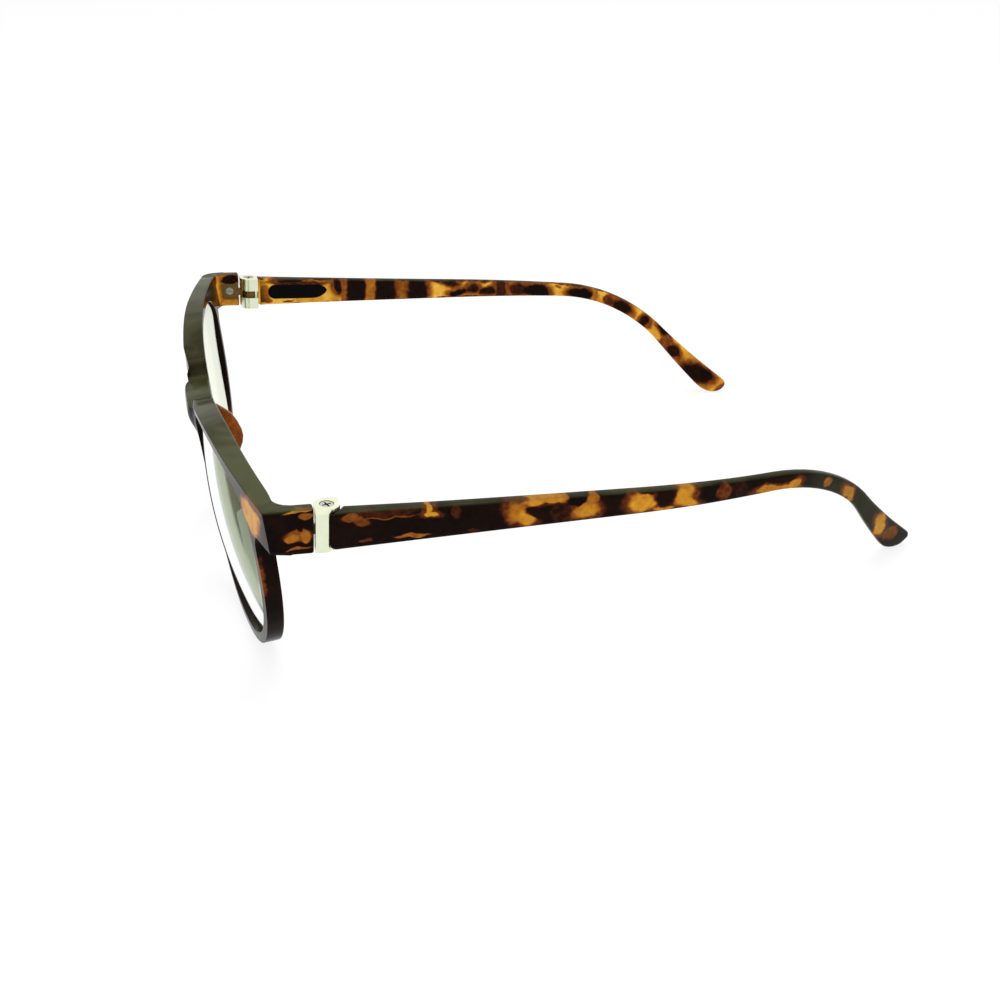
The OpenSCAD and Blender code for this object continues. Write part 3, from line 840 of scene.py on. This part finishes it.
def paint_tone(nodes, tone, point, blots):
    """Lays blots one over another on a tone; each blot is (place, size, slant, tone)."""
    for place, size, slant, value in blots:
        local = add_node(nodes, "ShaderNodeMapping", {"vector_type": "TEXTURE"}, Vector=point,
                         Location=place, Rotation=(0, 0, radians(slant)), Scale=size)
        reach = vector_sum(nodes, "LENGTH", local.outputs["Vector"], result="Value")
        cover = soft_stretch(nodes, reach, **BLOT_EDGE)
        tone = mixed(nodes, cover, tone, value, "FLOAT")
    return tone


def ramp_of(nodes, share, stops):
    ramp = add_node(nodes, "ShaderNodeValToRGB", Fac=share)
    elements = ramp.color_ramp.elements
    elements[0].position, elements[0].color = stops[0]
    elements[1].position, elements[1].color = stops[-1]
    for position, colour in stops[1:-1]:
        elements.new(position).color = colour
    return ramp.outputs["Color"]


def tortoise(name, base, mottle, blots, along=False, painted_reflection=0.85, ear_painted_reflection=0.0):
    """Amber plastic with dark blots: base tone, strength of the loose mottling, and placed blots.

    The pattern follows a temple where along is true. painted_reflection is the strength of the
    painted grey reflection of the sky on faces that look upwards, and ear_painted_reflection its
    strength all round the ear end.
    """
    nodes, material = new_material(name)
    place = object_place(nodes)
    ragged = add_node(nodes, "ShaderNodeTexNoise", Vector=place, Scale=300, Detail=2, Roughness=0.5)
    centred = vector_sum(nodes, "SUBTRACT", ragged.outputs["Color"], (0.5, 0.5, 0.5))
    shift = vector_sum(nodes, "SCALE", centred, Scale=RAGGED_ON_MAP if along else RAGGED)
    if along:
        run = add_node(nodes, "ShaderNodeUVMap", {"uv_map": "along"}).outputs["UV"]
        where = vector_sum(nodes, "MULTIPLY", vector_sum(nodes, "ADD", run, shift), (1, 1, 0))
        laid = [((r * MAP_SCALE, h * MAP_SCALE, 0), (a * MAP_SCALE, b * MAP_SCALE, 1), slant, tone)
                for r, h, a, b, slant, tone in blots]
    else:
        where = vector_sum(nodes, "ADD", place, shift)
        laid = [(in_metres(at), in_metres(size), slant, tone) for at, size, slant, tone in blots]
    loose = cloud(nodes, place, Scale=150, Detail=2, Roughness=0.5, Distortion=0.4)
    start = stretch(nodes, loose, From_Min=0.38, From_Max=0.66, To_Min=base, To_Max=base + mottle)
    tone = paint_tone(nodes, start, where, laid)
    fine = cloud(nodes, place, Scale=900, Detail=3, Roughness=0.6)
    grain = stretch(nodes, fine, From_Min=0.3, From_Max=0.7, To_Min=-0.07, To_Max=0.07)
    total = number_sum(nodes, "ADD", tone, grain, use_clamp=True)
    plastic = ramp_of(nodes, total, TORTOISE_RAMP)

    # painted grey reflection of the sky on faces that look upwards, weaker towards the table
    facing = part_of(nodes, nodes.new("ShaderNodeNewGeometry").outputs["Normal"], "Z")
    upward = soft_stretch(nodes, facing, From_Min=0.35, From_Max=0.9, To_Max=painted_reflection)
    height = part_of(nodes, place, "Z")
    low_down = stretch(nodes, height, From_Min=0.012, From_Max=0.028, To_Min=0.2)
    painted_sheen = number_sum(nodes, "MULTIPLY", upward, low_down)
    # the painted reflection also lies all round the ear end, where that is asked for
    if ear_painted_reflection:
        ear = soft_stretch(nodes, part_of(nodes, run, "X"), To_Max=ear_painted_reflection, **EAR_REFLECTION_RUN)
        painted_sheen = number_sum(nodes, "MAXIMUM", painted_sheen, ear)
    # the painted reflection is patchy, between a dark and a pale grey
    clouds = cloud(nodes, place, Scale=55, Detail=3, Roughness=0.6, Distortion=0.6)
    patchy = stretch(nodes, clouds, From_Min=0.4, From_Max=0.62)
    painted_reflection_tone = mixed(nodes, patchy, PAINTED_REFLECTION_DARK, PAINTED_REFLECTION_PALE)
    finish(nodes, mixed(nodes, painted_sheen, plastic, painted_reflection_tone), loose, rough=(0.10, 0.22),
           bump=(0.06, 0.0002), IOR=1.46, Specular_IOR_Level=FAINT_GLOSS)
    return material


GRAIN_DARK = 0.86
# Colour of the painted shade in the recesses of the pivot screws, and how far its soft edge reaches
# above and below its level, in metres
RECESS_SHADE = (0.008, 0.006, 0.004, 1)
RECESS_TOP, RECESS_LOW = 0.00002, 0.00003
FINE_BUMP = (0.05, 0.00005)


def metal(name, colour, rough, grain, recess=None):
    """Turned metal; recess is the drop below the hinge tops under which it gets painted shade, in
    metres.
    """
    nodes, material = new_material(name)
    place = object_place(nodes)
    turned = cloud(nodes, place, Scale=grain, Detail=3)
    shade = mixed(nodes, turned, (*[c * GRAIN_DARK for c in colour], 1), (*colour, 1))
    # painted shade where the metal lies below the hinge tops, as in a screw's slot
    if recess:
        up = ON_HINGE.to_3x3() @ Vector((0, 0, 1))
        height = vector_sum(nodes, "DOT_PRODUCT", place, tuple(up), result="Value")
        level = up.dot(HINGE) / MM_PER_METRE - recess
        deep = stretch(nodes, height, From_Min=level + RECESS_TOP, From_Max=level - RECESS_LOW)
        shade = mixed(nodes, deep, shade, RECESS_SHADE)
    finish(nodes, shade, turned, rough=(rough * 0.8, rough * 1.2), bump=FINE_BUMP, Metallic=1)
    return material


LENS_CLEAR = (0.97, 0.985, 0.965, 1)
LENS_TINT = (0.60, 0.65, 0.55, 1)
# Colours of the painted pale reflection of the studio on a lens: on the clear and the tinted parts
# of its front, and on its back
PAINTED_GLARE_CLEAR = (0.80, 0.90, 0.80, 1)
PAINTED_GLARE_TINT = (0.15, 0.17, 0.11, 1)
PAINTED_GLARE_BEHIND = (0.95, 0.96, 0.86, 1)
TINT_RISE = 0.6


def tinted_lens(name):
    """Pale lens, grey-green towards the brow, that mirrors where it is seen nearly edge-on."""
    nodes, material = new_material(name)
    place = object_place(nodes)
    outward = number_sum(nodes, "ABSOLUTE", part_of(nodes, place, "X"))
    height = number_sum(nodes, "MULTIPLY_ADD", part_of(nodes, place, "Z"), TINT_RISE, outward)
    fade = soft_stretch(nodes, height, From_Min=0.050, From_Max=0.070)

    # the tint's full strength and the mirror coat are on the front of the lens
    facing = part_of(nodes, nodes.new("ShaderNodeNewGeometry").outputs["Normal"], "Y")
    ahead = stretch(nodes, facing, From_Min=0.02, From_Max=-0.02)
    coat = number_sum(nodes, "MULTIPLY", fade, ahead)
    clear = add_node(nodes, "ShaderNodeBsdfTransparent",
                     Color=mixed(nodes, coat, LENS_CLEAR, LENS_TINT))
    # painted pale reflection of the studio: a diffuse colour that grows where the lens is seen at a
    # slant, strongest from behind
    glare_ahead_tone = mixed(nodes, fade, PAINTED_GLARE_CLEAR, PAINTED_GLARE_TINT)
    painted_glare = add_node(nodes, "ShaderNodeBsdfDiffuse", Color=mixed(nodes, ahead, PAINTED_GLARE_BEHIND, glare_ahead_tone))
    edge_on = add_node(nodes, "ShaderNodeLayerWeight", Blend=0.5).outputs["Facing"]
    grazing = soft_stretch(nodes, edge_on, From_Min=0.50, From_Max=0.66, To_Min=0.04)
    side_share = stretch(nodes, ahead, To_Min=0.85, To_Max=0.35)
    body = mixed_shader(nodes, number_sum(nodes, "MULTIPLY", grazing, side_share),
                        clear.outputs["BSDF"], painted_glare.outputs["BSDF"])

    # dark outline where the lens is seen exactly edge-on
    outline = soft_stretch(nodes, edge_on, From_Min=0.92, From_Max=0.945, To_Min=1, To_Max=0.02)
    smear = stretch(nodes, cloud(nodes, place, Scale=60, Detail=2), To_Min=0.02, To_Max=0.06)
    shine = add_node(nodes, "ShaderNodeBsdfGlossy", Color=outline, Roughness=smear)
    mirror = soft_stretch(nodes, edge_on, From_Min=0.775, From_Max=0.815, To_Min=0.03, To_Max=0.98)
    surface = mixed_shader(nodes, number_sum(nodes, "MULTIPLY", mirror, ahead),
                           body, shine.outputs["BSDF"])
    add_node(nodes, "ShaderNodeOutputMaterial", Surface=surface)
    return material


BLACK_LOW = (0.001, 0.0008, 0.0008, 1)
BLACK_HIGH = (0.004, 0.003, 0.003, 1)


def black_plastic(name):
    nodes, material = new_material(name)
    pitted = cloud(nodes, object_place(nodes), Scale=900, Detail=2)
    tone = mixed(nodes, pitted, BLACK_LOW, BLACK_HIGH)
    finish(nodes, tone, pitted, rough=(0.3, 0.45), bump=FINE_BUMP, Specular_IOR_Level=FAINT_GLOSS)
    return material


def plainly_seen(nodes):
    """1 where a thing is looked at, straight, mirrored or through a lens, and 0 for its light."""
    rays = nodes.new("ShaderNodeLightPath").outputs
    direct = number_sum(nodes, "MAXIMUM", rays["Is Camera Ray"], rays["Is Glossy Ray"])
    return number_sum(nodes, "MAXIMUM", direct, rays["Is Transmission Ray"])


TABLE_WHITE = (0.96, 0.99, 0.97, 1)
GLOW_SHARE = 0.82


def white_floor(name):
    """Pale table: white where it is looked at, with a faint shadow of the glasses."""
    nodes, material = new_material(name)
    matt = add_node(nodes, "ShaderNodeBsdfDiffuse", Color=TABLE_WHITE)
    glow = add_node(nodes, "ShaderNodeEmission", Color=(1, 1, 1, 1), Strength=1)
    share = number_sum(nodes, "MULTIPLY", plainly_seen(nodes), GLOW_SHARE)
    surface = mixed_shader(nodes, share, matt.outputs["BSDF"], glow.outputs["Emission"])
    add_node(nodes, "ShaderNodeOutputMaterial", Surface=surface)
    return material


left_pattern = with_halos(LEFT_BLOTS, 0.61, 1, 0.36)
right_pattern = with_halos(RIGHT_BLOTS, 0, 0.3, 0.45)
front_shell = tortoise("front_tortoiseshell", 0.04, 0.10, FRONT_BLOTS)
pad_shell = tortoise("pad_tortoiseshell", 0.40, 0.08, (), painted_reflection=0.0)
temple_shell = {
    "left": tortoise("left_tortoiseshell", 0.04, 0.08, left_pattern, along=True,
                     painted_reflection=0.4, ear_painted_reflection=0.25),
    "right": tortoise("right_tortoiseshell", 0.74, 0.24, right_pattern, along=True, painted_reflection=0.4)}
lens_tint = tinted_lens("lens_tint")
cap_metal = metal("cap_metal", (0.86, 0.90, 0.68), 0.3, 700)
pivot_metal = metal("pivot_screw_metal", (0.62, 0.61, 0.52), 0.3, 900, recess=0.00016)
screw_metal = metal("tongue_screw_metal", (0.32, 0.30, 0.26), 0.35, 900)
tongue_bronze = metal("tongue_bronze", (0.15, 0.09, 0.03), 0.4, 900)
spring_steel = metal("spring_steel", (0.55, 0.54, 0.52), 0.3, 900)
box_black = black_plastic("box_black")

# The pieces
add_piece("front_shell", front_mesh, front_shell, "front", ["front_frame"])
for side in SIDES:
    add_piece(side + "_nose_pad", pad_mesh, pad_shell, "front", (), side)
    add_piece(side + "_lens_shell", lens_mesh, lens_tint, "front", [side + "_lens"], side)
    add_piece(side + "_temple_shell", temple_mesh, temple_shell[side], side + "_arm",
              [side + "_temple"], side)
    add_piece(side + "_box_cover", box_mesh, box_black, side + "_arm",
              [side + "_spring_box"], side)

node_finish = {"tongue": tongue_bronze, "tongue_screw": screw_metal, "hinge_cap": cap_metal,
               "pivot_screw": pivot_metal, "slider_rod": spring_steel, "spring": spring_steel,
               "stop_nut": spring_steel}
for side in SIDES:
    for name, node_material in node_finish.items():
        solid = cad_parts[side + "_" + name]
        solid.data.materials.clear()
        solid.data.materials.append(node_material)

# Table, light and camera
TABLE_HALF = 3
TABLE_DROP = 0.0002
floor_bm = bmesh.new()
bmesh.ops.create_grid(floor_bm, x_segments=1, y_segments=1, size=TABLE_HALF)
floor_mesh = bpy.data.meshes.new("table_top")
floor_bm.to_mesh(floor_mesh)
floor_bm.free()
floor = bpy.data.objects.new("table_top", floor_mesh)
floor.location.z = -TABLE_DROP
floor_mesh.materials.append(white_floor("table_white"))
bpy.context.scene.collection.objects.link(floor)


def studio():
    world = bpy.data.worlds.new("studio")
    bpy.context.scene.world = world
    world.use_nodes = True
    nodes = world.node_tree.nodes
    nodes.clear()
    sky = add_node(nodes, "ShaderNodeBackground", Color=(1, 1, 1, 1), Strength=0.85)
    seen = add_node(nodes, "ShaderNodeBackground", Color=(1, 1, 1, 1), Strength=1)
    surface = mixed_shader(nodes, plainly_seen(nodes),
                           sky.outputs["Background"], seen.outputs["Background"])
    add_node(nodes, "ShaderNodeOutputWorld", Surface=surface)


def lamp(name, size, power, place, aim):
    data = bpy.data.lights.new(name, "AREA")
    data.shape = "DISK"
    data.size = size
    data.energy = power
    made = bpy.data.objects.new(name, data)
    made.location = place
    made.rotation_euler = (Vector(aim) - Vector(place)).to_track_quat("-Z", "Y").to_euler()
    bpy.context.scene.collection.objects.link(made)


studio()
lamp("overhead", 0.8, 6, (-0.2, 0.1, 1.0), (0, 0, 0))

CAMERA_AT = (0.23887, -0.07752, 0.13681)
CAMERA_YAW, CAMERA_PITCH, CAMERA_ROLL = radians(16.51), radians(28.739), radians(-0.312)
CAMERA_LENS = 41.23
CAMERA_SENSOR = 36
CAMERA_NEAR = 0.01
camera_data = bpy.data.cameras.new("photo_view")
camera_data.lens = CAMERA_LENS
camera_data.sensor_width = CAMERA_SENSOR
camera_data.clip_start = CAMERA_NEAR
camera = bpy.data.objects.new("photo_view", camera_data)
camera.matrix_world = (Matrix.Translation(CAMERA_AT) @ Matrix.Rotation(pi / 2 - CAMERA_YAW, 4, "Z")
                       @ Matrix.Rotation(pi / 2 - CAMERA_PITCH, 4, "X")
                       @ Matrix.Rotation(CAMERA_ROLL, 4, "Z"))
bpy.context.scene.collection.objects.link(camera)
bpy.context.scene.camera = camera
bpy.context.scene.view_settings.view_transform = "Standard"
